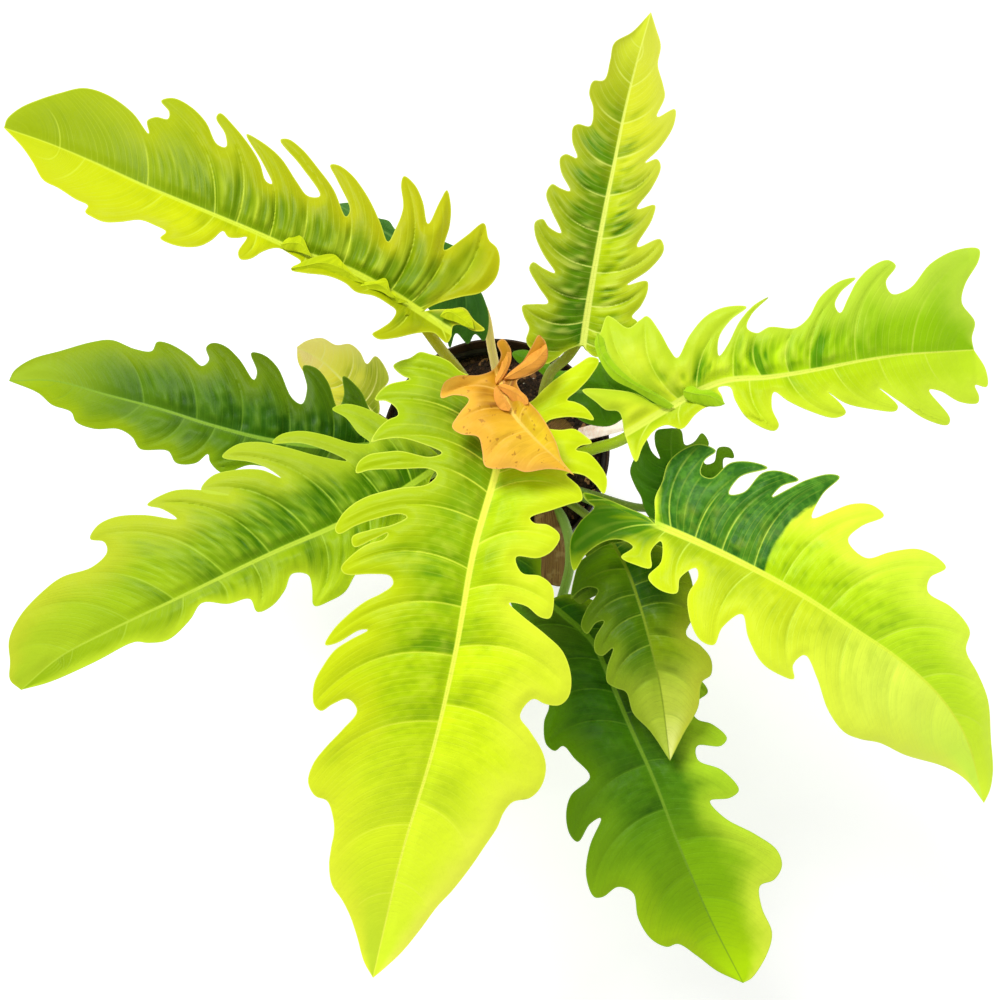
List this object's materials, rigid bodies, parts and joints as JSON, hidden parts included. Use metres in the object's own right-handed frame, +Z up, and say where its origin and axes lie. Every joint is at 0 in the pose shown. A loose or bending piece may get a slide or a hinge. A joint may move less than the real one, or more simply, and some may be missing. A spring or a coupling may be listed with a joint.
{
  "type": "potted golden saw-edged philodendron",
  "caption": "Potted aroid house plant: long yellow-green, deeply saw-lobed blades on round stalks that fan out from one short stem in a round nursery pot of soil.",
  "frame": {"origin": "middle of the flat pad under the pot, on the surface that the pot stands on", "axes": "+Z up; -Y towards the front, the side of the pictured viewer; +X to the viewer's right"},
  "size_m": [0.7818, 0.7728, 0.4632],
  "materials": {
    "leaf": "softly glossy living leaf, yellow-green to dark green",
    "petiole": "smooth, faintly flecked green stalk",
    "stem": "dull, ringed with leaf scars",
    "dry_sheath": "dry papery scale",
    "soil": "loose crumbs of dark potting mix with bark and husk chips",
    "pot": "satin moulded plastic",
    "label": "matt, slightly soiled"
  },
  "bodies": {
    "root": {"blade_back": "leaf", "blade_front": "leaf", "blade_inner_back": "leaf", "blade_inner_centre": "leaf", "blade_inner_right": "leaf", "blade_left_dark": "leaf", "blade_left_old": "leaf", "blade_low_front": "leaf", "blade_lower_left": "leaf", "blade_lower_right": "leaf", "blade_orange": "leaf", "blade_right": "leaf", "blade_small_front": "leaf", "blade_upper_left": "leaf", "dry_sheath_back": "dry_sheath", "dry_sheath_front": "dry_sheath", "petiole_back": "petiole", "petiole_front": "petiole", "petiole_inner_back": "petiole", "petiole_inner_centre": "petiole", "petiole_inner_right": "petiole", "petiole_left_dark": "petiole", "petiole_left_old": "petiole", "petiole_low_front": "petiole", "petiole_lower_left": "petiole", "petiole_lower_right": "petiole", "petiole_orange": "petiole", "petiole_right": "petiole", "petiole_small_front": "petiole", "petiole_upper_left": "petiole", "plant_label": "label", "pot": "pot", "soil": "soil", "stem": "stem"}
  },
  "joints": []
}
